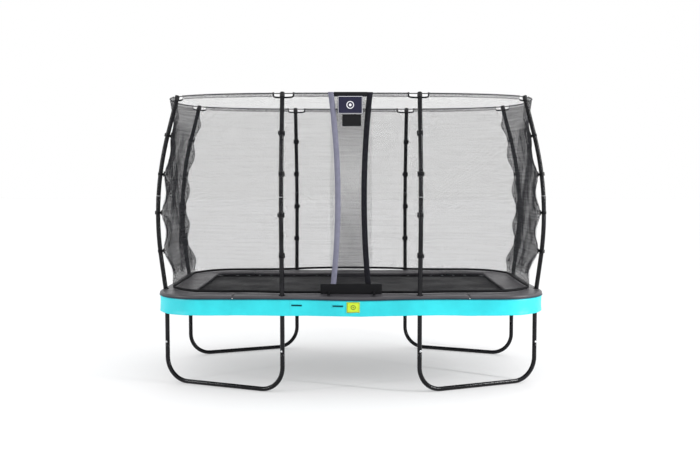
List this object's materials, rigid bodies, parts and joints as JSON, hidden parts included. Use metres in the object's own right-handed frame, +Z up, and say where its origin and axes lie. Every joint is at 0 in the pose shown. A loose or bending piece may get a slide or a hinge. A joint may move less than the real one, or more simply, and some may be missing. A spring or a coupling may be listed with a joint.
{
  "type": "trampoline",
  "caption": "Rectangular garden trampoline on U-shaped legs, with padded edge, hanging skirt, bowed net poles, top ring and a safety net with an overlapping entrance.",
  "frame": {"origin": "on the floor, below the centre of the mat", "axes": "+X along the long side, +Y away from the entrance side, +Z up"},
  "size_m": [3.7486, 2.2866, 2.7631],
  "materials": {
    "steel": "glossy black powder coat",
    "cap_plastic": "satin black",
    "ring_rod": "satin black",
    "spring_steel": "zinc plated",
    "mat_fabric": "woven, dull",
    "pad_vinyl": "coated fabric, satin",
    "skirt_vinyl": "coated fabric, satin, cyan",
    "net_mesh": "open knitted mesh",
    "webbing": "woven webbing, dull",
    "band_light": "woven tape, grey lilac",
    "band_dark": "woven tape, dark violet grey",
    "sill_fabric": "coated fabric, dull",
    "badge_fabric": "sewn badge, navy",
    "label_fabric": "sewn label, yellow green",
    "bolt_steel": "zinc plated"
  },
  "bodies": {
    "frame": {"leg_front_left": "steel", "rail_corner_front_left": "steel", "leg_front_right": "steel", "rail_corner_front_right": "steel", "leg_back_left": "steel", "rail_corner_back_left": "steel", "leg_back_right": "steel", "rail_corner_back_right": "steel", "post_front_left_corner": "steel", "pole_lower_front_left_corner": "steel", "pole_upper_front_left_corner": "steel", "cap_front_left_corner": "cap_plastic", "post_front_left_side": "steel", "pole_lower_front_left_side": "steel", "pole_upper_front_left_side": "steel", "cap_front_left_side": "cap_plastic", "post_front_right_corner": "steel", "pole_lower_front_right_corner": "steel", "pole_upper_front_right_corner": "steel", "cap_front_right_corner": "cap_plastic", "post_front_right_side": "steel", "pole_lower_front_right_side": "steel", "pole_upper_front_right_side": "steel", "cap_front_right_side": "cap_plastic", "post_back_left_corner": "steel", "pole_lower_back_left_corner": "steel", "pole_upper_back_left_corner": "steel", "cap_back_left_corner": "cap_plastic", "post_back_left_side": "steel", "pole_lower_back_left_side": "steel", "pole_upper_back_left_side": "steel", "cap_back_left_side": "cap_plastic", "post_back_right_corner": "steel", "pole_lower_back_right_corner": "steel", "pole_upper_back_right_corner": "steel", "cap_back_right_corner": "cap_plastic", "post_back_right_side": "steel", "pole_lower_back_right_side": "steel", "pole_upper_back_right_side": "steel", "cap_back_right_side": "cap_plastic", "rail_front": "steel", "springs_front": "spring_steel", "pad_front": "pad_vinyl", "rail_back": "steel", "springs_back": "spring_steel", "pad_back": "pad_vinyl", "rail_left": "steel", "springs_left": "spring_steel", "pad_left": "pad_vinyl", "rail_right": "steel", "springs_right": "spring_steel", "pad_right": "pad_vinyl", "top_ring": "ring_rod", "net_left": "net_mesh", "net_right": "net_mesh", "net_back": "net_mesh", "entry_sill": "sill_fabric"},
    "mat": {"jump_mat": "mat_fabric"},
    "door_inner": {"door_left": "net_mesh"},
    "door_outer": {"door_right": "net_mesh"}
  },
  "joints": [
    {"name": "mat_bounce", "type": "slide", "parent": "frame", "child": "mat", "axis": [0, 0, 1], "range_m": [-0.2, 0], "stiffness_N_per_m": 5000, "springref_m": 0.06, "deforming": ["springs_front", "springs_back", "springs_left", "springs_right"]},
    {"name": "door_inner_swing", "type": "hinge", "parent": "frame", "child": "door_inner", "pos_m": [-0.612, -0.86, 1.85], "axis": [0, 0, 1], "range_deg": [0, 40], "stiffness_Nm_per_rad": 3, "springref_deg": -5.73},
    {"name": "door_outer_swing", "type": "hinge", "parent": "frame", "child": "door_outer", "pos_m": [0.612, -1.09, 1.85], "axis": [0, 0, 1], "range_deg": [0, 40], "stiffness_Nm_per_rad": 3, "springref_deg": -5.73}
  ]
}
